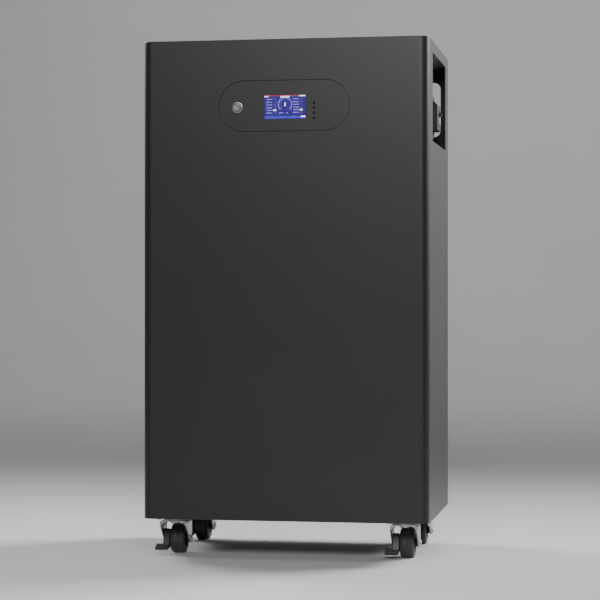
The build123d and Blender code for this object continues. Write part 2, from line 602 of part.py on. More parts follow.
def cable(points, bend):
    """One round power cable along points, with its corners rounded."""
    with BuildPart() as run:
        with BuildLine() as path:
            FilletPolyline(*points, radius=bend)
        start = Plane(path.line @ 0, z_dir=path.line % 0)
        with BuildSketch(start):
            Circle(CABLE_R)
        sweep(path=path.line)
    return run.part


POLE_IN_X = COLUMN_X - POLE_X
RISER_Y = 130.0
LINK_X = POCKET_X - 15 - CABLE_R
BMS_Z = SHELF_Z + 20.0

negative_riser = cable(
    [
        (-POLE_IN_X, BUSBAR_Y, LEVELS[0]),
        (-POLE_IN_X, RISER_Y, LEVELS[0]),
        (-POLE_IN_X, RISER_Y, BMS_Z),
        (-POLE_IN_X, BMS_Y, BMS_Z),
    ],
    15,
)
positive_riser = cable(
    [
        (POLE_IN_X, BUSBAR_Y, LEVELS[0]),
        (POLE_IN_X, RISER_Y, LEVELS[0]),
        (POLE_IN_X, RISER_Y, FUSE_Z),
        (POLE_IN_X, BREAKER_Y, FUSE_Z),
        (FUSE_X[0], BREAKER_Y, FUSE_Z),
    ],
    15,
)
positive_link = cable(
    [
        (POCKET_X, BREAKER_Y, LINE_Z),
        (LINK_X, BREAKER_Y, LINE_Z),
        (LINK_X, LINK_Y[1] - 20, LINE_Z),
    ],
    12,
)
negative_link = cable(
    [
        (BMS_X, -20, BMS_Z),
        (LINK_X, -20, BMS_Z),
        (LINK_X, -20, NEGATIVE_Z + 8),
    ],
    12,
)

with BuildPart() as power_cables:
    add([negative_riser, positive_riser, positive_link, negative_link])
    rod((FUSE_X[1], BREAKER_Y, FUSE_Z), (1, 0, 0), CABLE_R, POCKET_X - FUSE_X[1])
power_cables.part.label = "power_cables"
export_step(power_cables.part, "parts/power_cables.step")

# ---------------------------------------------------------------- casters, fixed half

with BuildPart() as caster_top_plates:
    for _, x, y in CASTERS:
        with BuildSketch(Plane.XY.offset(PLATE_Z)):
            with Locations((x, y)):
                RectangleRounded(PLATE_W, PLATE_W, 6)
                Circle(KINGPIN_R, mode=Mode.SUBTRACT)
                with GridLocations(BOLT_SPAN, BOLT_SPAN, 2, 2):
                    Circle(3.2, mode=Mode.SUBTRACT)
        extrude(amount=PLATE_T)
caster_top_plates.part.label = "caster_top_plates"
export_step(caster_top_plates.part, "parts/caster_top_plates.step")

RACE_Z = (CROWN_Z[1] + 2.3, PLATE_Z)  # upper bearing race
RIVET_Z = CROWN_Z[0] - BODY_GAP

with BuildPart() as caster_kingpins:
    for _, x, y in CASTERS:
        rod((x, y, RIVET_Z - 4), (0, 0, 1), KINGPIN_R, BASE_Z - RIVET_Z + 4)
        rod((x, y, RIVET_Z - 4), (0, 0, 1), 9, 4)
        rod((x, y, RACE_Z[0] + BODY_GAP), (0, 0, 1), 16, RACE_Z[1] - RACE_Z[0] - BODY_GAP)
caster_kingpins.part.label = "caster_kingpins"
export_step(caster_kingpins.part, "parts/caster_kingpins.step")

with BuildPart() as caster_bolts:
    for _, x, y in CASTERS:
        with BuildSketch(Plane.XY.offset(PLATE_Z - 3.2)):
            with Locations((x, y)):
                with GridLocations(BOLT_SPAN, BOLT_SPAN, 2, 2):
                    RegularPolygon(5.0, 6, major_radius=False)
        extrude(amount=3.2)
        for dx in (-BOLT_SPAN / 2, BOLT_SPAN / 2):
            for dy in (-BOLT_SPAN / 2, BOLT_SPAN / 2):
                rod((x + dx, y + dy, PLATE_Z), (0, 0, 1), 3.0, 10)
                rod((x + dx, y + dy, BASE_Z + 2), (0, 0, 1), 5.0, 4)
caster_bolts.part.label = "caster_bolts"
export_step(caster_bolts.part, "parts/caster_bolts.step")

# ---------------------------------------------------------------- casters, turning half

LEG_FRONT, LEG_BACK = -20.0, 23.0  # fork's length at the crown, from the swivel axis
LEG_END_R = 8.5
HUB_R = 16.0
LEG_X = FORK_W / 2 - FORK_T  # inner face of each leg, from the wheel's middle
HUB_X = (WHEEL_SIDE - WHEEL_W / 2 - 0.4, LEG_X - BODY_GAP)
BRAKE_X = (0.8 - LEG_X, HUB_X[0] - BODY_GAP)
PEDAL_REACH = 32.7
PEDAL_Y, PEDAL_Z, PEDAL_TILT = -9.0, 12.0, 25.0

for name, x, y in CASTERS:
    wheel_x, axle_y, axle_z = x + WHEEL_SIDE, y + TRAIL, WHEEL_R

    # Fork: a U with thick round shoulders, its legs narrowing down to the axle.
    with BuildPart() as fork:
        with BuildSketch(facing(y + LEG_BACK)) as outer:
            with Locations((x, (axle_z - LEG_END_R + CROWN_Z[1]) / 2)):
                Rectangle(FORK_W, CROWN_Z[1] - axle_z + LEG_END_R)
            fillet(outer.vertices().group_by(Axis.Y)[-1], 5.5)
        extrude(amount=LEG_BACK - LEG_FRONT)
        with BuildSketch(facing(y + LEG_BACK)) as inner:
            with Locations((x, (axle_z - LEG_END_R + CROWN_Z[0]) / 2 - 1)):
                Rectangle(FORK_W - 2 * FORK_T, CROWN_Z[0] - axle_z + LEG_END_R + 2)
            fillet(inner.vertices().group_by(Axis.Y)[-1], 10)
        extrude(amount=LEG_BACK - LEG_FRONT, mode=Mode.SUBTRACT)
        with BuildSketch(sideways(x - FORK_W)):
            with BuildLine():
                CenterArc((axle_y, axle_z), LEG_END_R, 0, 360)
                Line((y + LEG_FRONT, CROWN_Z[1]), (y + LEG_BACK, CROWN_Z[1]))
                Line((y + LEG_FRONT, CROWN_Z[0] - 6), (y + LEG_BACK, CROWN_Z[0] - 6))
            make_hull()
        extrude(amount=2 * FORK_W, mode=Mode.INTERSECT)
        rod((x, y, CROWN_Z[1]), (0, 0, 1), 17, 2.3)
        rod((x, y, CROWN_Z[0]), (0, 0, 1), KINGPIN_R + RUNNING, 6, mode=Mode.SUBTRACT)
        rod((x - FORK_W, axle_y, axle_z), (1, 0, 0), AXLE_R + 0.02, 2 * FORK_W, mode=Mode.SUBTRACT)
    fork.part.label = f"{name}_fork"
    export_step(fork.part, f"parts/{name}_fork.step")

    # Axle: a bolt with its head on the left and its nut on the right.
    with BuildPart() as axle:
        half = FORK_W / 2
        rod((x - half, axle_y, axle_z), (1, 0, 0), AXLE_R, FORK_W + 2.6)
        rod((x - half - 1.4, axle_y, axle_z), (1, 0, 0), 5, 1.4)
        with BuildSketch(sideways(x + half)):
            with Locations((axle_y, axle_z)):
                RegularPolygon(5.0, 6, major_radius=False)
        extrude(amount=2.2)
    axle.part.label = f"{name}_axle"
    export_step(axle.part, f"parts/{name}_axle.step")

    # Wheel centre: web and bosses about the axle.
    with BuildPart() as wheel_hub:
        rod((x + HUB_X[0], axle_y, axle_z), (1, 0, 0), 6.5, HUB_X[1] - HUB_X[0])
        rod((wheel_x - WHEEL_W / 2 + 1, axle_y, axle_z), (1, 0, 0), HUB_R, WHEEL_W - 2)
        for start, direction in ((wheel_x - WHEEL_W / 2 + 1, 1), (wheel_x + WHEEL_W / 2 - 1, -1)):
            with BuildSketch(Plane((start, axle_y, axle_z), z_dir=(direction, 0, 0))):
                Circle(HUB_R - 2.5)
                Circle(6.5, mode=Mode.SUBTRACT)
            extrude(amount=5, mode=Mode.SUBTRACT)
        rod((x - FORK_W, axle_y, axle_z), (1, 0, 0), AXLE_R + RUNNING, 2 * FORK_W, mode=Mode.SUBTRACT)
    wheel_hub.part.label = f"{name}_wheel_hub"
    export_step(wheel_hub.part, f"parts/{name}_wheel_hub.step")

    # Tread moulded round the centre.
    with BuildPart() as tyre:
        rod((wheel_x - WHEEL_W / 2, axle_y, axle_z), (1, 0, 0), WHEEL_R, WHEEL_W)
        fillet(tyre.edges().filter_by(GeomType.CIRCLE), 4.5)
        rod((wheel_x - WHEEL_W / 2, axle_y, axle_z), (1, 0, 0), HUB_R, WHEEL_W, mode=Mode.SUBTRACT)
    tyre.part.label = f"{name}_tyre"
    export_step(tyre.part, f"parts/{name}_tyre.step")

    # Brake lever: a moulded block on the axle beside the wheel, with a foot tab that sticks out.
    with BuildPart() as brake_pedal:
        with BuildSketch(sideways(x + BRAKE_X[0])):
            with BuildLine():
                CenterArc((axle_y, axle_z), LEG_END_R, 0, 360)
                CenterArc((y - 6, PEDAL_Z + 2), 4.5, 0, 360)
                CenterArc((y + 1, 38), 4.5, 0, 360)
            make_hull()
        extrude(amount=BRAKE_X[1] - BRAKE_X[0])
        rod((x - FORK_W, axle_y, axle_z), (1, 0, 0), AXLE_R + RUNNING, FORK_W, mode=Mode.SUBTRACT)
        with BuildSketch(sideways(x - PEDAL_REACH)):
            with Locations(Location((y + PEDAL_Y, PEDAL_Z), PEDAL_TILT)):
                SlotOverall(17, 4)
        extrude(amount=PEDAL_REACH + BRAKE_X[1])
    brake_pedal.part.label = f"{name}_brake_pedal"
    export_step(brake_pedal.part, f"parts/{name}_brake_pedal.step")
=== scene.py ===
import json
import math

import bmesh
import bpy
from mathutils import Matrix, Vector


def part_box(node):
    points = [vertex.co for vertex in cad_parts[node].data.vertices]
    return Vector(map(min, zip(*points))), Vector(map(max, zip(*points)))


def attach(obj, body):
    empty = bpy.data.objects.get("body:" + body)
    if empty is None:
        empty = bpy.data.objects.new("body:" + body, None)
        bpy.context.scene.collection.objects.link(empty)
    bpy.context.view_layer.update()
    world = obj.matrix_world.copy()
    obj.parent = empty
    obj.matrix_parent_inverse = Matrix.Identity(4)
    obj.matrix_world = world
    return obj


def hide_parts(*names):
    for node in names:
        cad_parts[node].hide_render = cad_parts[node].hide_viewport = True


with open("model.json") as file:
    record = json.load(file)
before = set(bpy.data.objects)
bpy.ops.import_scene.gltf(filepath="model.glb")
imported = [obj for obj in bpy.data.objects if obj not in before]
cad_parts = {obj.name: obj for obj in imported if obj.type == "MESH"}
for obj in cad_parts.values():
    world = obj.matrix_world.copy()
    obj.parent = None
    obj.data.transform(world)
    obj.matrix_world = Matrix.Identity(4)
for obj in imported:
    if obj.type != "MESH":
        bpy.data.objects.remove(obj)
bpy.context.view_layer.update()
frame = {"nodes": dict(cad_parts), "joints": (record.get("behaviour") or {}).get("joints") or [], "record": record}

NODES = frame["nodes"]
AT = {j["name"]: Vector(j["pos_m"]) for j in frame["joints"] if "pos_m" in j}
MM = 0.001


# ---------------------------------------------------------------- materials

NOISE_LOW, NOISE_HIGH = 0.3, 0.7  # nearly all of a noise node's values lie between these


class Nodes:
    """A material's node tree with short calls for the nodes that this scene uses."""

    def __init__(self, name):
        self.material = bpy.data.materials.new(name)
        self.material.use_nodes = True
        self.tree = self.material.node_tree
        self.shader = self.tree.nodes["Principled BSDF"]
        self.place = self.tree.nodes.new("ShaderNodeTexCoord").outputs["Object"]

    def new(self, kind, **inputs):
        node = self.tree.nodes.new(kind)
        for key, value in inputs.items():
            self.set(node.inputs[key.replace("_", " ")], value)
        return node

    def set(self, socket, value):
        if isinstance(value, bpy.types.NodeSocket):
            self.tree.links.new(value, socket)
        else:
            socket.default_value = value

    def stretched(self, scale):
        """Object coordinates, stretched along each axis."""
        node = self.new("ShaderNodeMapping", Vector=self.place)
        node.inputs["Scale"].default_value = scale
        return node.outputs["Vector"]

    def noise(self, scale, detail=3.0, vector=None):
        node = self.new("ShaderNodeTexNoise", Vector=vector or self.place, Scale=scale, Detail=detail)
        return node.outputs["Fac"]

    def ranged(self, value, low, high):
        """A noise mapped to low..high."""
        node = self.tree.nodes.new("ShaderNodeMapRange")
        self.set(node.inputs["Value"], value)
        node.inputs["From Min"].default_value = NOISE_LOW
        node.inputs["From Max"].default_value = NOISE_HIGH
        node.inputs["To Min"].default_value = low
        node.inputs["To Max"].default_value = high
        return node.outputs["Result"]

    def tinted(self, value, dark, light, start=NOISE_LOW, stop=NOISE_HIGH):
        """A colour between dark and light, by value."""
        node = self.tree.nodes.new("ShaderNodeValToRGB")
        self.set(node.inputs["Fac"], value)
        node.color_ramp.elements[0].position = start
        node.color_ramp.elements[0].color = (*dark, 1)
        node.color_ramp.elements[1].position = stop
        node.color_ramp.elements[1].color = (*light, 1)
        return node.outputs["Color"]

    def bump(self, height, strength, depth, under=None):
        node = self.new("ShaderNodeBump", Height=height, Strength=strength, Distance=depth)
        if under is not None:
            self.set(node.inputs["Normal"], under)
        self.set(self.shader.inputs["Normal"], node.outputs["Normal"])
        return node.outputs["Normal"]

    def finish(self, **inputs):
        for key, value in inputs.items():
            self.set(self.shader.inputs[key.replace("_", " ")], value)
        return self.material


def scaled(colour, factor):
    return tuple(min(1.0, c * factor) for c in colour)


def powder_coat(name, colour, rough, grain=1.0):
    """Baked powder coating: a fine orange-peel texture with slight changes of gloss."""
    n = Nodes(name)
    shade = n.tinted(n.noise(7.0, 2.0), scaled(colour, 0.94), scaled(colour, 1.06))
    fine = n.noise(1500.0, 2.0)
    peel = n.noise(420.0, 2.0)
    under = n.bump(peel, 0.10 * grain, 0.0003)
    n.bump(fine, 0.16 * grain, 0.00012, under)
    gloss = n.ranged(n.noise(900.0, 3.0), rough - 0.05, rough + 0.06)
    return n.finish(Base_Color=shade, Roughness=gloss, Specular_IOR_Level=0.5)


def plated(name, colour, rough):
    """Zinc or nickel plating over drawn steel: fine streaks and a faintly cloudy gloss."""
    n = Nodes(name)
    streaks = n.noise(1.0, 3.0, n.stretched((40.0, 40.0, 900.0)))
    clouds = n.noise(120.0, 3.0)
    shade = n.tinted(clouds, scaled(colour, 0.86), scaled(colour, 1.04))
    n.bump(streaks, 0.08, 0.0001)
    gloss = n.ranged(clouds, rough - 0.07, rough + 0.10)
    return n.finish(Base_Color=shade, Metallic=1.0, Roughness=gloss)


def moulded(name, colour, rough, grain, clear=0.0, shine=0.5):
    """Injection-moulded plastic with a fine spark-eroded grain."""
    n = Nodes(name)
    shade = n.tinted(n.noise(30.0, 2.0), scaled(colour, 0.92), scaled(colour, 1.08))
    n.bump(n.noise(2600.0, 2.0), grain, 0.0001)
    gloss = n.ranged(n.noise(500.0, 3.0), rough - 0.05, rough + 0.07)
    return n.finish(
        Base_Color=shade, Roughness=gloss, Coat_Weight=clear, Coat_Roughness=0.15, Specular_IOR_Level=shine
    )


def rubber(name, colour, rough):
    """Tread rubber: matt, slightly dusty, with a fine open grain."""
    n = Nodes(name)
    dust = n.noise(90.0, 4.0)
    shade = n.tinted(dust, colour, scaled(colour, 1.7), 0.35, 0.8)
    n.bump(n.noise(1900.0, 3.0), 0.3, 0.00015)
    gloss = n.ranged(dust, rough - 0.08, rough + 0.12)
    return n.finish(Base_Color=shade, Roughness=gloss, Sheen_Weight=0.08)


def brushed(name, colour, rough):
    """Brushed metal, with fine straight lines along x."""
    n = Nodes(name)
    lines = n.noise(1.0, 2.0, n.stretched((30.0, 2500.0, 2500.0)))
    n.bump(lines, 0.16, 0.0001)
    shade = n.tinted(lines, scaled(colour, 0.85), scaled(colour, 1.05))
    gloss = n.ranged(lines, rough - 0.06, rough + 0.12)
    return n.finish(Base_Color=shade, Metallic=1.0, Roughness=gloss)


def lit(name, colour, strength):
    """A lit part of the screen's picture."""
    n = Nodes(name)
    glow = n.tinted(n.noise(160.0, 1.0), scaled(colour, 0.9), scaled(colour, 1.1))
    return n.finish(Base_Color=(0.01, 0.01, 0.012, 1), Emission_Color=glow, Emission_Strength=strength)


def clear_window(name):
    """The screen's hard clear window, with a faint smear in its gloss."""
    n = Nodes(name)
    gloss = n.ranged(n.noise(60.0, 3.0), 0.03, 0.09)
    return n.finish(Base_Color=(0.9, 0.93, 1.0, 1), Roughness=gloss, Transmission_Weight=1.0, IOR=1.45)


def circuit(name):
    """Solder-masked board with copper tracks showing through as slightly lighter lines."""
    n = Nodes(name)
    tracks = n.noise(1.0, 1.0, n.stretched((900.0, 900.0, 90.0)))
    shade = n.tinted(tracks, (0.006, 0.05, 0.02), (0.012, 0.12, 0.045), 0.48, 0.52)
    n.bump(tracks, 0.2, 0.0001)
    return n.finish(Base_Color=shade, Roughness=0.3)


DARK = (0.014, 0.0142, 0.0145)
M = {
    "coat": powder_coat("powder_coat", DARK, 0.38),
    "panel": powder_coat("panel_coat", scaled(DARK, 1.02), 0.37, 0.7),
    "steel": plated("sheet_steel", (0.50, 0.51, 0.52), 0.38),
    "zinc": plated("zinc_plate", (0.50, 0.51, 0.53), 0.34),
    "button": brushed("button_metal", (0.27, 0.27, 0.275), 0.34),
    # The rim is the cap's metal with a much lighter colour: a painted highlight where the rim catches the light.
    # The cap keeps the darker copy.
    "ring": plated("button_rim_painted_highlight", (0.62, 0.62, 0.63), 0.24),
    "pin": plated("pin_silver", (0.86, 0.85, 0.82), 0.16),
    "copper": plated("copper", (0.86, 0.42, 0.24), 0.25),
    "aluminium": brushed("plate_aluminium", (0.72, 0.73, 0.75), 0.35),
    "cell": moulded("cell_wrap", (0.02, 0.09, 0.32), 0.3, 0.08, 0.3),
    "spacer": moulded("spacer_sheet", (0.72, 0.68, 0.55), 0.6, 0.25),
    "board": circuit("circuit_board"),
    "black": moulded("black_plastic", (0.006, 0.006, 0.0065), 0.5, 0.25),
    "key": moulded("key_rubber", (0.004, 0.004, 0.0045), 0.75, 0.3, shine=0.12),
    "red": moulded("red_plastic", (0.42, 0.012, 0.010), 0.36, 0.12, 0.2),
    "white": moulded("white_plastic", (0.62, 0.60, 0.54), 0.45, 0.1),
    "case": moulded("breaker_case", (0.022, 0.022, 0.024), 0.48, 0.35),
    "toggle": moulded("toggle_plastic", (0.012, 0.012, 0.014), 0.3, 0.1, 0.3),
    "gum": rubber("black_rubber", (0.012, 0.012, 0.012), 0.6),
    "tread": rubber("wheel_tread", (0.026, 0.026, 0.027), 0.55),
    "sheath": rubber("cable_sheath", (0.02, 0.02, 0.02), 0.5),
    "screw": plated("black_screw", (0.05, 0.05, 0.052), 0.35),
    "pedal": powder_coat("pedal_black", (0.010, 0.010, 0.011), 0.4, 1.4),
    "glass": clear_window("display_window"),
}
BY_SLOT = {
    "powder_coat": "coat",
    "panel_coat": "panel",
    "plain_steel": "steel",
    "zinc_plate": "zinc",
    "button_metal": "button",
    "pin_metal": "pin",
    "copper": "copper",
    "plate_aluminium": "aluminium",
    "cell_can": "cell",
    "spacer_sheet": "spacer",
    "display_lit": "black",
    "display_glass": "glass",
    "circuit_board": "board",
    "black_plastic": "black",
    "red_plastic": "red",
    "white_plastic": "white",
    "breaker_case": "case",
    "toggle_plastic": "toggle",
    "black_rubber": "gum",
    "black_screw": "screw",
    "cable_sheath": "sheath",
    "wheel_tread": "tread",
    "pedal_black": "pedal",
}
for part in frame["record"]["subparts"]:
    for holder in NODES[part["node"]].material_slots:
        holder.material = M[BY_SLOT[part["material_slot"]]]

# ---------------------------------------------------------------- mesh helpers

SHARP = math.radians(35)  # edges sharper than this stay creased


def piece(name, shape, body, slot, *replaced, finish=None, bevel=0.0, at=(0, 0, 0)):
    """Adds a piece of the object. shape is a mesh or the function that builds it, body is what it
    rides on, replaced are the CAD nodes it stands for, and finish is its material, if not the slot's."""
    mesh = shape if isinstance(shape, bpy.types.Mesh) else mesh_from(name, shape)
    made = bpy.data.objects.new(name, mesh)
    made.location = at
    bpy.context.scene.collection.objects.link(made)
    if not mesh.materials:
        mesh.materials.append(M[finish or BY_SLOT[slot]])
    for face in mesh.polygons:
        face.use_smooth = True
    mesh.set_sharp_from_angle(angle=SHARP)
    if bevel:
        edge = made.modifiers.new("bevel", "BEVEL")
        edge.width = bevel
        edge.segments = 3
        edge.limit_method = "ANGLE"
        edge.angle_limit = math.radians(40)
        made.modifiers.new("normals", "WEIGHTED_NORMAL")
    if replaced:
        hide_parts(*replaced)
    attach(made, body)


def mesh_from(name, build):
    """A mesh filled by build(bm)."""
    bm = bmesh.new()
    build(bm)
    bmesh.ops.remove_doubles(bm, verts=bm.verts, dist=1e-6)
    bmesh.ops.recalc_face_normals(bm, faces=bm.faces)
    mesh = bpy.data.meshes.new(name)
    bm.to_mesh(mesh)
    bm.free()
    return mesh


def turned(bm, profile, place, steps=96, flats=None):
    """A closed profile of (radius, height) turned about place's z; flats=(count, reach) cuts flats."""
    rings = []
    for k in range(steps):
        angle = 2 * math.pi * k / steps
        reach = math.inf
        if flats:
            turn = math.pi / flats[0]
            reach = flats[1] / math.cos((angle + turn) % (2 * turn) - turn)
        ring = []
        for r, h in profile:
            r = min(r, reach)
            ring.append(bm.verts.new(place @ Vector((r * math.cos(angle), r * math.sin(angle), h))))
        rings.append(ring)
    count = len(profile)
    for k in range(steps):
        here, there = rings[k], rings[(k + 1) % steps]
        for i in range(count):
            j = (i + 1) % count
            corners = [here[i], here[j], there[j], there[i]]
            if profile[i][0] == 0 and profile[j][0] == 0:
                continue
            if profile[i][0] == 0:
                corners = corners[:3]
            elif profile[j][0] == 0:
                corners = [here[i], here[j], there[i]]
            bm.faces.new(corners)


def prism(bm, outline, place, low, high):
    """A closed outline of (x, y) in the plane of place, extruded from low to high along its z."""
    bottom = [bm.verts.new(place @ Vector((x, y, low))) for x, y in outline]
    top = [bm.verts.new(place @ Vector((x, y, high))) for x, y in outline]
    bm.faces.new(list(reversed(bottom)))
    bm.faces.new(top)
    for i in range(len(outline)):
        j = (i + 1) % len(outline)
        bm.faces.new([bottom[i], bottom[j], top[j], top[i]])


def tube(bm, outer, inner, place, low, high):
    """A wall between two outlines with as many corners each."""
    loops = []
    for outline, h in ((outer, low), (outer, high), (inner, high), (inner, low)):
        loops.append([bm.verts.new(place @ Vector((x, y, h))) for x, y in outline])
    for a, b in zip(loops, loops[1:] + loops[:1]):
        for i in range(len(a)):
            j = (i + 1) % len(a)
            bm.faces.new([a[i], a[j], b[j], b[i]])


def rounded(width, height, radius, centre=(0.0, 0.0), steps=6):
    """The corners of a rectangle with round corners."""
    points = []
    for turn, (sx, sy) in enumerate(((1, 1), (-1, 1), (-1, -1), (1, -1))):
        for k in range(steps + 1):
            angle = math.pi / 2 * (turn + k / steps)
            points.append(
                (
                    centre[0] + sx * (width / 2 - radius) + radius * math.cos(angle),
                    centre[1] + sy * (height / 2 - radius) + radius * math.sin(angle),
                )
            )
    return points


def arc(centre, radius, start, stop, steps):
    """Points along an arc in degrees."""
    return [
        (
            centre[0] + radius * math.cos(math.radians(start + (stop - start) * k / steps)),
            centre[1] + radius * math.sin(math.radians(start + (stop - start) * k / steps)),
        )
        for k in range(steps + 1)
    ]


def front_place(x, y, z):
    """Local x is +X, local y is +Z, local z points out of the front, towards -Y."""
    return Matrix.Translation((x, y, z)) @ Matrix.Rotation(math.pi / 2, 4, "X")


def side_place(x, y, z):
    """Local x is +Y, local y is +Z, local z is +X."""
    turn = Matrix(((0, 0, 1, 0), (1, 0, 0, 0), (0, 1, 0, 0), (0, 0, 0, 1)))
    return Matrix.Translation((x, y, z)) @ turn


def soften(name, width):
    """Rounds the sharp edges of a CAD node as it shows, without changing its mesh."""
    node = NODES[name]
    weld = node.modifiers.new("weld", "WELD")
    weld.merge_threshold = 0.02 * MM
    flat = node.modifiers.new("flat", "DECIMATE")
    flat.decimate_type = "DISSOLVE"
    flat.angle_limit = math.radians(0.5)
    bevel = node.modifiers.new("bevel", "BEVEL")
    bevel.width = width
    bevel.segments = 2
    bevel.limit_method = "ANGLE"
    bevel.angle_limit = SHARP
    node.modifiers.new("normals", "WEIGHTED_NORMAL")


def middle(name):
    low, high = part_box(name)
    return (Vector(low) + Vector(high)) / 2


def scaled_mm(points):
    return [(a * MM, b * MM) for a, b in points]


def hull(points):
    """The convex outline round points."""
    points = sorted(set(points))
    outline = []
    for row in (points, points[::-1]):
        side = []
        for p in row:
            while len(side) > 1:
                (ax, ay), (bx, by) = side[-2:]
                if (bx - ax) * (p[1] - ay) - (by - ay) * (p[0] - ax) > 0:
                    break
                side.pop()
            side.append(p)
        outline += side[:-1]
    return outline


# ---------------------------------------------------------------- control panel

LENS_LOW, LENS_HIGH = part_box("display_lens")
LCD_X, LCD_Z = (LENS_LOW.x + LENS_HIGH.x) / 2, (LENS_LOW.z + LENS_HIGH.z) / 2
LCD_W, LCD_H = LENS_HIGH.x - LENS_LOW.x, LENS_HIGH.z - LENS_LOW.z
LCD = front_place(LCD_X, LENS_HIGH.y, LCD_Z)
LAYER = 0.12 * MM  # thickness of each layer of the picture
TOP = 2  # the picture's top layer
DIAL_U, DIAL_V = 0.507, 0.40  # middle of the picture's ring, as fractions from the left and top


def bar(bm, u, v, wide, high, level=TOP):
    """A bar of the picture: its centre as fractions from the left and top, its size in millimetres."""
    centre = ((u - 0.5) * LCD_W, (0.5 - v) * LCD_H)
    outline = rounded(wide * MM, high * MM, 0.3 * min(wide, high) * MM, centre, 3)
    prism(bm, outline, LCD, level * LAYER, (level + 1) * LAYER)


def screen_back(bm):
    prism(bm, rounded(LCD_W - 0.2 * MM, LCD_H - 0.2 * MM, 0.5 * MM), LCD, 0, LAYER)


def screen_header(bm):
    bar(bm, 0.5, 0.03, 68.8, 1.6, 1)


def screen_bright(bm):
    bar(bm, 0.055, 0.062, 7.2, 1.5)
    bar(bm, 0.505, 0.078, 15.5, 2.2)
    bar(bm, 0.925, 0.045, 11.5, 1.7)
    bar(bm, 0.255, 0.63, 5.4, 2.4)
    bar(bm, 0.895, 0.62, 4.8, 2.4)
    bar(bm, 0.945, 0.90, 8.4, 2.3)
    bar(bm, DIAL_U, DIAL_V, 1.9, 5.4)
    bar(bm, DIAL_U, 0.355, 1.0, 4.0)


def screen_marks(bm):
    """The ring, its ticks, and rows of plain dashes."""
    dial = ((DIAL_U - 0.5) * LCD_W, (0.5 - DIAL_V) * LCD_H)
    start, stop = -48, 228
    ring = arc(dial, 11.65 * MM, start, stop, 48) + arc(dial, 10.75 * MM, stop, start, 48)
    prism(bm, ring, LCD, TOP * LAYER, (TOP + 1) * LAYER)
    for k in range(12):
        angle = math.radians(start + (stop - start) * k / 11)
        across, up = 8.6 * MM * math.cos(angle) / LCD_W, 8.6 * MM * math.sin(angle) / LCD_H
        bar(bm, DIAL_U + across, DIAL_V - up, 0.6, 0.6)
    for k, v in enumerate((0.18, 0.30, 0.41, 0.53, 0.63, 0.745)):
        for part in range(4):
            wide = (1.5, 2.6, 2.0, 1.8)[(part + k) % 4]
            bar(bm, 0.075 + 0.034 * part, v, wide, 1.25)
            bar(bm, 0.715 + 0.036 * part, v - 0.01, wide, 1.25)
        if k != 4:
            bar(bm, 0.27, v, 1.2, 0.8)
            bar(bm, 0.90, v - 0.01, 1.2, 0.8)
    bar(bm, 0.395, 0.745, 3.6, 1.7)
    bar(bm, 0.455, 0.745, 2.0, 1.7)
    bar(bm, 0.555, 0.75, 2.6, 1.6)
    for k in range(14):
        bar(bm, 0.05 + 0.055 * k, 0.905 - 0.02 * (k % 3 == 0), 1.4, 0.5)


def screen_dim(bm):
    bar(bm, 0.5, 0.855, 68.4, 0.35, 1)
    for column in (0.225, 0.335, 0.67):
        bar(bm, column, 0.46, 0.3, 28.0, 1)
    bar(bm, 0.5, 0.94, 68.4, 3.2, 1)


def screen_body(bm):
    """The screen's case, with a step that fills the panel's opening."""
    low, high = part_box("display_module")
    back = front_place((low.x + high.x) / 2, high.y, (low.z + high.z) / 2)
    deep = high.y - low.y
    prism(bm, rounded(high.x - low.x, high.z - low.z, 1.5 * MM), back, 0, deep - 1.3 * MM)
    prism(bm, rounded(LCD_W, LCD_H, 0.7 * MM), back, deep - 1.6 * MM, deep - 0.02 * MM)


def window(bm):
    """The clear window, with a gap behind it for the picture's layers."""
    prism(bm, rounded(LCD_W, LCD_H, 0.8 * MM), LCD, 0.8 * MM, LENS_HIGH.y - LENS_LOW.y)


M["blue"] = lit("screen_blue", (0.045, 0.016, 0.33), 0.84)
M["dim"] = lit("screen_dim", (0.05, 0.05, 0.55), 1.2)
M["lilac"] = lit("screen_lilac", (0.42, 0.33, 0.90), 1.4)
M["bright"] = lit("screen_bright", (0.92, 0.88, 1.0), 2.0)
M["header"] = lit("screen_header", (0.55, 0.05, 0.05), 1.0)

piece("screen_body", screen_body, "cabinet", "black_plastic", "display_module", bevel=0.3 * MM)
for name, shape, finish in (
    ("screen_back", screen_back, "blue"),
    ("screen_dim", screen_dim, "dim"),
    ("screen_header", screen_header, "header"),
    ("screen_marks", screen_marks, "lilac"),
    ("screen_bright", screen_bright, "bright"),
):
    piece(name, shape, "cabinet", "display_lit", finish=finish)
piece("screen_window", window, "cabinet", "display_glass", "display_lens", bevel=0.15 * MM)

FLANGE_T = 2.6  # button's flange, in front of the panel, in millimetres
CAP_LOW, CAP_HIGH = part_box("power_button_cap")
BODY_LOW, BODY_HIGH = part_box("power_button_body")
PANEL_Y = BODY_LOW.y + FLANGE_T * MM
BUTTON = front_place((CAP_LOW.x + CAP_HIGH.x) / 2, PANEL_Y, (CAP_LOW.z + CAP_HIGH.z) / 2)
FLANGE_R = (BODY_HIGH.x - BODY_LOW.x) / 2 / MM
CAP_FACE = (PANEL_Y - CAP_LOW.y) / MM
CAP_R = (CAP_HIGH.x - CAP_LOW.x) / 2 / MM


def button_ring(bm):
    """The button's flange and barrel, the plug that closes the barrel, and two solder tabs."""
    end = -25
    rim = [(FLANGE_R - 0.9, FLANGE_T), *arc((FLANGE_R - 0.9, 1.7), 0.9, 75, 0, 6), (FLANGE_R, 0)]
    bore = [(8, 0), (8, end), (6.8, end), (6.8, 1.5), (7.4, 1.95), (7.6, 2.2), (7.85, 2.2), (8, FLANGE_T)]
    turned(bm, scaled_mm(bore + rim), BUTTON)
    for x in (-3, 3):
        prism(bm, rounded(0.8 * MM, 3 * MM, 0.1 * MM, (x * MM, 0), 2), BUTTON, (end - 6) * MM, end * MM)
    turned(bm, scaled_mm([(0, end), (0, end + 1), (6.8, end + 1), (6.8, end)]), BUTTON)


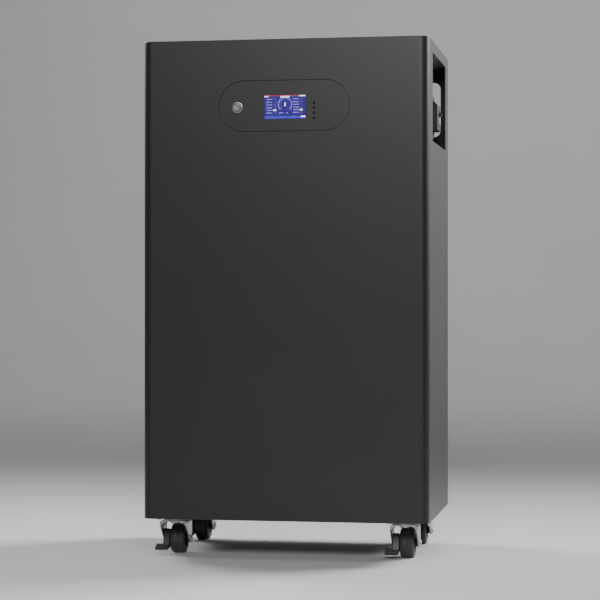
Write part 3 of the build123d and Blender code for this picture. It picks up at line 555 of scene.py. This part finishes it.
def button_cap(bm):
    """The cap that is pressed, with a groove near its edge and a fine one round its middle."""
    face, r = CAP_FACE, CAP_R
    profile = [
        (0, face - 16),
        (r, face - 16),
        (r, face - 0.7),
        *arc((r - 0.7, face - 0.7), 0.7, 15, 90, 5),
        (r - 1.1, face - 0.02),
        (r - 1.3, face - 0.6),
        (r - 2.3, face - 0.6),
        (r - 2.5, face - 0.02),
        (2.6, face - 0.12),
        (2.4, face - 0.32),
        (2.0, face - 0.32),
        (1.8, face - 0.14),
        (0, face - 0.16),
    ]
    turned(bm, scaled_mm(profile), BUTTON, 128)


# The ring's finish is the cap's metal made lighter: a painted highlight on the rim.
piece("button_ring", button_ring, "cabinet", "button_metal", "power_button_body", finish="ring")
piece("button_cap", button_cap, "power_button", "button_metal", "power_button_cap")


def key(low, high):
    """A menu key's dome, its stem and the collar that keeps it behind the panel."""
    deep = (high.y - low.y) / MM
    collar = deep - 5.0
    place = front_place((low.x + high.x) / 2, high.y, (low.z + high.z) / 2)

    def build(bm):
        stem = [(0, 0), (1.45, 0), (1.6, 0.15), (1.6, collar)]
        flange = [(2.5, collar), (2.5, collar + 1), (1.6, collar + 1)]
        dome = [(1.6, deep - 0.4), (1.5, deep - 0.17), (1.25, deep - 0.06)]
        top = [(0.9, deep), (0.6, deep - 0.02), (0, deep - 0.1)]
        turned(bm, scaled_mm(stem + flange + dome + top), place, 48)

    return build


for number in range(1, 5):
    node = f"nav_key_{number}"
    shape = key(*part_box(node))
    piece(f"key_{number}", shape, f"menu_key_{number}", "black_plastic", node, finish="key")

# ---------------------------------------------------------------- connections in the right pocket

BUSH_R, BUSH_BACK = 15, 7.5  # the bushes' radius and their length behind the wall, in millimetres
PORT_PITCH = 20 * MM
WALL_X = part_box("positive_bases")[0].x + BUSH_BACK * MM
PIN_TIP = (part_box("positive_terminals")[1].x - WALL_X) / MM
PIN_Y = [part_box("positive_bases")[0].y + BUSH_R * MM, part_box("positive_bases")[1].y - BUSH_R * MM]


def pins(pole):
    """The two contact pins of a pole, each with a groove, a dimpled tip and a nut behind the wall."""
    height = middle(f"{pole}_terminals").z

    def build(bm):
        for y in PIN_Y:
            place = side_place(WALL_X, y, height)
            shank = [(0, -16), (4.4, -16), (5, -15.4), (5, 8.5), (4.6, 9.2), (4.6, 10), (4, 10.4)]
            groove = [(4, PIN_TIP - 7.2), (3.55, PIN_TIP - 6.6), (3.55, PIN_TIP - 4.6), (4, PIN_TIP - 4.0)]
            edge = [(4, PIN_TIP - 1.2), (3.7, PIN_TIP - 0.5), (3.0, PIN_TIP)]
            dimple = [(1.2, PIN_TIP), (1.0, PIN_TIP - 0.6), (0, PIN_TIP - 0.8)]
            turned(bm, scaled_mm(shank + groove + edge + dimple), place, 64)
            nut = [(5, -11.5), (7, -11.5), (7.5, -11), (7.5, -8), (7, -7.5), (5, -7.5)]
            turned(bm, scaled_mm(nut), place, 72, (6, 6.6 * MM))

    return build


def bushes(pole):
    """The two insulating bushes of a pole. Their ring of small marks is flush with the face."""
    height = middle(f"{pole}_bases").z

    def build(bm):
        for y in PIN_Y:
            place = side_place(WALL_X, y, height)
            back = [(5, -BUSH_BACK), (8.6, -BUSH_BACK), (9, -7.1), (9, 0), (14.6, 0), (BUSH_R, 0.4)]
            rim = [(BUSH_R, 4.8), (14.7, 5.6), (14.0, 6), (12.6, 6)]
            groove = [(12.3, 5.6), (11.2, 5.6), (10.9, 6), (10, 6)]
            boss = [(10, 9.4), (9.4, 10), (7.2, 10), (6.9, 9.2), (5, 9.2)]
            turned(bm, scaled_mm(back + rim + groove + boss), place, 96)
            mark = rounded(1.1 * MM, 1.6 * MM, 0.4 * MM, (13.3 * MM, 0), 2)
            for k in range(8):
                turn = place @ Matrix.Rotation(2 * math.pi * (k + 0.5) / 8, 4, "Z")
                prism(bm, mark, turn, 5.9 * MM, 6.0 * MM)

    return build


for pole, colour in (("positive", "red_plastic"), ("negative", "black_plastic")):
    piece(f"{pole}_pins", pins(pole), "cabinet", "pin_metal", f"{pole}_terminals")
    piece(f"{pole}_bushes", bushes(pole), "cabinet", colour, f"{pole}_bases", bevel=0.15 * MM)


def earth(bm):
    """The threaded earth stud with its washer and nut."""
    place = side_place(WALL_X, middle("ground_stud").y, middle("ground_stud").z)
    washer = [(3, 0), (5.7, 0), (5.75, 0.1), (5.75, 1.1), (5.6, 1.2), (3, 1.2)]
    turned(bm, scaled_mm(washer), place, 64)
    nut = [(2.8, 1.2), (5.2, 1.2), (5.75, 1.6), (5.75, 4.5), (5.2, 5), (2.8, 5)]
    turned(bm, scaled_mm(nut), place, 72, (6, 5 * MM))
    stud = [(0, 0.5), (2.6, 0.5)]
    for k in range(18):
        stud += [(3.0, 1.0 + k), (3.0, 1.15 + k), (2.62, 1.5 + k), (2.62, 1.65 + k)]
    stud += [(2.3, 19), (0, 19)]
    turned(bm, scaled_mm(stud), place, 48)


piece("earth_stud", earth, "cabinet", "pin_metal", "ground_stud")

PORT_LOW, PORT_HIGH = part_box("comm_ports")
PORT_MID = (PORT_LOW + PORT_HIGH) / 2


def each_port():
    for k in (-1, 0, 1):
        yield side_place(PORT_HIGH.x, PORT_MID.y + PORT_PITCH * k, PORT_MID.z)


def port_shields(bm):
    for place in each_port():
        outer = rounded(12 * MM, 8.4 * MM, 0.3 * MM, steps=2)
        inner = rounded(11.3 * MM, 7.7 * MM, 0.2 * MM, steps=2)
        tube(bm, outer, inner, place, -11.9 * MM, -0.1 * MM)


def port_contacts(bm):
    """Eight bent spring contacts in each data socket."""
    for place in each_port():
        for k in range(8):
            x = (k - 3.5) * 1.02 * MM
            strip = [(-11.5, -2.6), (-11.5, -2.3), (-4.2, 0.8), (-2.2, 2.6), (-2.0, 2.4), (-3.9, 0.5)]
            wide = 0.25 * MM
            turn = place @ Matrix(((0, 0, 1, 0), (0, 1, 0, 0), (1, 0, 0, 0), (0, 0, 0, 1)))
            prism(bm, scaled_mm(strip), turn, x - wide, x + wide)


def port_lamps(bm):
    for place in each_port():
        for x in (-3.6, 3.6):
            prism(bm, rounded(2.4 * MM, 1.2 * MM, 0.2 * MM, (x * MM, 6.4 * MM), 3), place, -0.4 * MM, 0)


M["gold"] = plated("contact_gold", (0.90, 0.62, 0.22), 0.2)
M["lamp"] = moulded("lamp_clear", (0.25, 0.45, 0.18), 0.2, 0.05, 0.4)
piece("port_shields", port_shields, "cabinet", "zinc_plate")
piece("port_contacts", port_contacts, "cabinet", "copper", finish="gold")
piece("port_lamps", port_lamps, "cabinet", "black_plastic", finish="lamp", bevel=0.15 * MM)

CASE_LOW, CASE_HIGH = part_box("breaker_body")
CASE_Y = (CASE_LOW.y + CASE_HIGH.y) / 2
FACE_X = CASE_HIGH.x
SHOULDER_X = FACE_X - 11 * MM  # the step behind the nose


def breaker_screws(bm):
    """The four cross-headed clamp screws, sunk in the case 14 mm below the step."""
    head = [(0, 0), (4.0, 0), (4.2, 0.3), (4.2, 2.2), (3.7, 2.9), (0, 3.0)]
    for z in (CASE_LOW.z + 8 * MM, CASE_HIGH.z - 8 * MM):
        for y in (CASE_Y - 13 * MM, CASE_Y + 13 * MM):
            place = side_place(SHOULDER_X - 14 * MM, y, z)
            turned(bm, scaled_mm(head), place, 48)
            for turn in (0.6, 0.6 + math.pi / 2):
                slot = place @ Matrix.Rotation(turn, 4, "Z")
                prism(bm, rounded(5.6 * MM, 0.7 * MM, 0.2 * MM, steps=2), slot, 2.6 * MM, 3.25 * MM)


def breaker_ribs(bm):
    """Grip ribs on the nose above and below the toggle."""
    for z in (30.6, 32.4, 67.6, 69.4):
        place = side_place(FACE_X - 0.6 * MM, CASE_Y, CASE_LOW.z + z * MM)
        prism(bm, rounded(46 * MM, 0.9 * MM, 0.4 * MM, steps=3), place, 0, 0.95 * MM)


def breaker_plate(bm):
    place = side_place(FACE_X - 0.3 * MM, CASE_Y + 16.5 * MM, CASE_LOW.z + 50 * MM)
    prism(bm, rounded(14 * MM, 20 * MM, 0.8 * MM), place, 0, 0.45 * MM)


def breaker_window(bm):
    place = side_place(FACE_X - 0.3 * MM, CASE_Y - 16.5 * MM, CASE_LOW.z + 50 * MM)
    prism(bm, rounded(8 * MM, 5 * MM, 1.0 * MM), place, 0, 0.5 * MM)


piece("breaker_screws", breaker_screws, "cabinet", "zinc_plate")
piece("breaker_ribs", breaker_ribs, "cabinet", "breaker_case", bevel=0.2 * MM)
piece("breaker_plate", breaker_plate, "cabinet", "plate_aluminium", bevel=0.1 * MM)
piece("breaker_window", breaker_window, "cabinet", "red_plastic", bevel=0.15 * MM)


def toggle(bm):
    """The breaker's lever with its drum and pivot. At rest it is on, and leans up from the face."""
    half, lean = 6.7, math.radians(30)
    place = front_place(*AT["breaker_switch"])
    drum = [(0, -half), (8.7, -half), (9, 0.3 - half), (9, half - 0.3), (8.7, half), (0, half)]
    turned(bm, scaled_mm(drum), place, 96)
    turned(bm, scaled_mm([(0, -15.5), (2.5, -15.5), (2.5, 15.5), (0, 15.5)]), place, 48)
    lever = place @ Matrix.Rotation(lean, 4, "Z")
    top = [(7.0, 3.0)]
    for k in range(5):
        x = 9.2 + 1.25 * k
        top += [(x, 3.0), (x + 0.3, 2.6), (x + 0.8, 2.6), (x + 1.0, 3.0)]
    end = arc((14.6, 1.6), 1.4, 85, 0, 4) + arc((14.6, -1.6), 1.4, 0, -90, 4)
    outline = [(0, -3.0), (0, 3.0), *top, *end]
    prism(bm, scaled_mm(outline[::-1]), lever, -half * MM, half * MM)


piece("toggle_lever", toggle, "breaker_toggle_lever", "toggle_plastic", "breaker_toggle", bevel=0.25 * MM)

# ---------------------------------------------------------------- casters

CORNERS = ("front_left", "front_right", "rear_left", "rear_right")
SWIVELS = [Vector((AT[f"{c}_swivel"].x, AT[f"{c}_swivel"].y, 0)) for c in CORNERS]
ALONG_X = side_place(0, 0, 0)
BOLT_SPAN = 23 * MM  # from a swivel's axis to its plate's bolts, along x and along y


def races(bm):
    """Each kingpin: its riveted head below the fork, the race's cup above and its end in the plate."""
    rivet = [(0, 51.7), (5.5, 51.7), *arc((6.6, 54.1), 2.4, -90, 0, 6)]
    edge = [(9, 55.4), (8.7, 55.7), (6, 55.7)]
    cup = [(6, 61.6), (11, 61.6), (12, 61.1), (15.2, 61.1), *arc((15.1, 62.0), 0.9, -60, 60, 6)]
    shank = [(15.3, 63.0), (14.6, 63.5), (6, 63.5), (6, 66), (0, 66)]
    for spot in SWIVELS:
        turned(bm, scaled_mm(rivet + edge + cup + shank), Matrix.Translation(spot), 96)


def hex_bolts(bm):
    """Four bolts and nuts through each top plate and the base tray."""
    head = [(0, 60.3), (4.3, 60.3), (5.6, 61.0), (5.77, 61.2), (5.77, 63.0), (4.9, 63.0)]
    shank = [(4.9, 63.5), (3, 63.5), (3, 66.5), (0, 66.5)]
    nut = [(0, 68), (5.4, 68), (5.77, 68.4), (5.77, 71.6), (5.4, 72)]
    end = [(3, 72), (3, 73), (2.6, 73.4), (0, 73.4)]
    for spot in SWIVELS:
        for dx in (-BOLT_SPAN, BOLT_SPAN):
            for dy in (-BOLT_SPAN, BOLT_SPAN):
                place = Matrix.Translation(spot + Vector((dx, dy, 0)))
                turned(bm, scaled_mm(head + shank), place, 48, (6, 5 * MM))
                turned(bm, scaled_mm(nut + end), place, 48, (6, 4.9 * MM))


def tyre(bm):
    """The tyre, with two fine grooves and a mould line round its tread."""
    side = [(16, -12), (16.8, -12), (17.2, -11.6), (19.6, -11.6), (20.0, -12)]
    corner = arc((20.5, -7.5), 4.5, -88, 0, 9)
    groove = [(25, -6.3), (24.6, -6.0), (24.6, -5.6), (25, -5.3), (25, -0.25), (24.9, -0.1)]
    half = side + corner + groove
    turned(bm, scaled_mm(half + [(r, -h) for r, h in reversed(half)]), ALONG_X, 128)


def wheel_centre(bm):
    """The wheel's hub, web and rim, with six ribs on each side."""
    rim = [(12.9, -6), (13.5, -6.7), (13.5, -10.6), (13.9, -11), (16, -11)]
    web = [(6.5, -6.7), (7.2, -6), *rim, *((r, -h) for r, h in reversed(rim)), (7.2, 6), (6.5, 6.7)]
    left = [(3.08, -12.4), (5.9, -12.4), (6.4, -11.9)]
    right = [(6.5, 17.0), (6.0, 17.5), (3.08, 17.5)]
    turned(bm, scaled_mm(left + web + right), ALONG_X, 96)
    for k in range(6):
        rib = ALONG_X @ Matrix.Rotation(math.pi / 3 * k, 4, "Z")
        for low, high in ((-10, -5.5), (5.5, 10)):
            prism(bm, rounded(7.6 * MM, 1.6 * MM, 0.3 * MM, (10 * MM, 0), 2), rib, low * MM, high * MM)


def axle(bm):
    """The axle's head and far end, and the lock nut on that end."""
    head = [(0, -24.7), (3.2, -24.7), (4.4, -24.4), (5, -23.9), (5, -23.3), (3, -23.3)]
    end = [(3, 25.4), (2.7, 25.6), (2.5, 25.9), (0, 25.9)]
    turned(bm, scaled_mm(head + end), ALONG_X, 64)
    nut = [(2.9, 23.3), (5.3, 23.3), (5.77, 23.5), (5.77, 24.6), (5.2, 25.0)]
    collar = [(4.4, 25.1), (4.2, 25.5), (2.9, 25.5)]
    turned(bm, scaled_mm(nut + collar), ALONG_X, 96, (6, 5 * MM))


def outward(outline, count):
    """Where count rays from the origin leave a convex outline round it."""
    points = []
    for k in range(count):
        way = Vector((math.cos(2 * math.pi * k / count), math.sin(2 * math.pi * k / count)))
        for (ax, ay), (bx, by) in zip(outline, outline[1:] + outline[:1]):
            side = Vector((bx - ax, by - ay))
            cross = way.x * side.y - way.y * side.x
            if abs(cross) < 1e-9:
                continue
            reach = (ax * side.y - ay * side.x) / cross
            part = (ax * way.y - ay * way.x) / cross
            if reach > 0 and -1e-9 <= part <= 1 + 1e-9:
                points.append((way.x * reach, way.y * reach))
                break
    return points


def pedal(bm):
    """The lever's block, bored for the axle, and its ribbed foot tab."""
    count = 96
    heel = arc((-22, -11), 4.5, 0, 345, 23)
    crest = arc((-15, 13), 4.5, 0, 345, 23)
    outer = outward(hull(arc((0, 0), 8.5, 0, 352, 44) + heel + crest), count)
    bore = arc((0, 0), 3.08, 0, 360 * (count - 1) / count, count - 1)
    tube(bm, scaled_mm(outer), scaled_mm(bore), ALONG_X, -20.0 * MM, -9.7 * MM)
    tab = ALONG_X @ Matrix.Translation((-25 * MM, -13 * MM, 0)) @ Matrix.Rotation(math.radians(25), 4, "Z")
    top = []
    for k in range(6):
        x = 5.6 - 2.1 * k
        top += [(x, 2.0), (x - 0.9, 2.0), (x - 1.2, 1.55), (x - 1.8, 1.55)]
    section = arc((6.5, 0), 2, -90, 80, 8) + top + arc((-6.5, 0), 2, 100, 270, 8)
    prism(bm, scaled_mm(section), tab, -32.7 * MM, -10.2 * MM)


piece("caster_races", races, "cabinet", "zinc_plate", "caster_kingpins")
piece("caster_hex_bolts", hex_bolts, "cabinet", "zinc_plate", "caster_bolts")
SHARED = {
    "tyre": (mesh_from("tyre", tyre), "wheel", "roll", "wheel_tread", 0.0),
    "wheel_hub": (mesh_from("wheel_centre", wheel_centre), "wheel", "roll", "black_plastic", 0.15 * MM),
    "axle": (mesh_from("axle", axle), "fork", "brake_release", "zinc_plate", 0.0),
    "brake_pedal": (mesh_from("pedal", pedal), "brake", "brake_release", "pedal_black", 0.4 * MM),
}
for corner in CORNERS:
    for node, (mesh, body, joint, slot, bevel) in SHARED.items():
        name = f"{corner}_{node}"
        place = AT[f"{corner}_{joint}"]
        piece(name, mesh, f"{corner}_{body}", slot, f"caster_{name}", bevel=bevel, at=place)

# ---------------------------------------------------------------- CAD nodes shown as they are

for name, width in (
    ("front_shell", 0.35),
    ("top_lid", 0.3),
    ("rear_panel", 0.3),
    ("rear_grommets", 0.35),
    ("io_tray", 0.3),
    ("grip_tray", 0.3),
    ("control_bezel", 0.15),
    ("breaker_body", 0.5),
    ("comm_ports", 0.3),
    ("caster_top_plates", 0.4),
    *((f"caster_{corner}_fork", 0.4) for corner in CORNERS),
):
    soften(name, width * MM)

# ---------------------------------------------------------------- camera, light and backdrop

camera = bpy.data.objects.new("camera", bpy.data.cameras.new("camera"))
camera.data.lens = 116.6
camera.data.sensor_width = 36.0
camera.data.clip_end = 60.0
camera.location = (0.5787, -3.3286, 0.434)
camera.rotation_euler = (math.radians(89.98), 0, math.radians(9.88))
bpy.context.scene.collection.objects.link(camera)
bpy.context.scene.camera = camera


def area_light(name, place, aim, size, power, spread=180):
    light = bpy.data.lights.new(name, "AREA")
    light.shape = "RECTANGLE"
    light.size, light.size_y = size
    light.energy = power
    light.spread = math.radians(spread)
    lamp = bpy.data.objects.new(name, light)
    lamp.location = place
    lamp.rotation_euler = (Vector(aim) - Vector(place)).to_track_quat("-Z", "Y").to_euler()
    bpy.context.scene.collection.objects.link(lamp)


area_light("front", (0.55, -4.2, 2.4), (0, 0, 0.7), (2.4, 1.2), 125)
area_light("right", (2.4, 1.6, 2.2), (0.24, 0, 1.0), (1.4, 1.4), 38, 60)
area_light("left", (-2.4, 1.6, 2.2), (-0.24, 0, 1.0), (1.4, 1.4), 18, 60)
area_light("top", (0, -0.6, 3.4), (0, -0.6, 0), (2.4, 2.4), 18)
area_light("backdrop", (0, 4.2, 5.4), (0, 7.4, 2.6), (7.0, 1.0), 190)

world = bpy.data.worlds.new("studio")
world.use_nodes = True
world.node_tree.nodes["Background"].inputs["Color"].default_value = (0.80, 0.82, 0.85, 1)
world.node_tree.nodes["Background"].inputs["Strength"].default_value = 0.10
bpy.context.scene.world = world


def sweep(bm):
    """The floor, curving up into a plain wall behind."""
    line = [(-9.0, 0.0), *((y + 5.0, z + 2.5) for y, z in arc((0, 0), 2.5, -90, 0, 24)), (7.5, 7.0)]
    rows = [[bm.verts.new((x, y, z)) for y, z in line] for x in (-11.0, 11.0)]
    for i in range(len(line) - 1):
        bm.faces.new([rows[0][i], rows[1][i], rows[1][i + 1], rows[0][i + 1]])


paper = Nodes("backdrop_paper")
fibre = paper.tinted(paper.noise(1.5), (0.55, 0.55, 0.55), (0.57, 0.57, 0.565))
paper.finish(Base_Color=fibre, Roughness=0.75)
ground = mesh_from("backdrop", sweep)
ground.materials.append(paper.material)
for face in ground.polygons:
    face.use_smooth = True
backdrop = bpy.data.objects.new("backdrop", ground)
bpy.context.scene.collection.objects.link(backdrop)
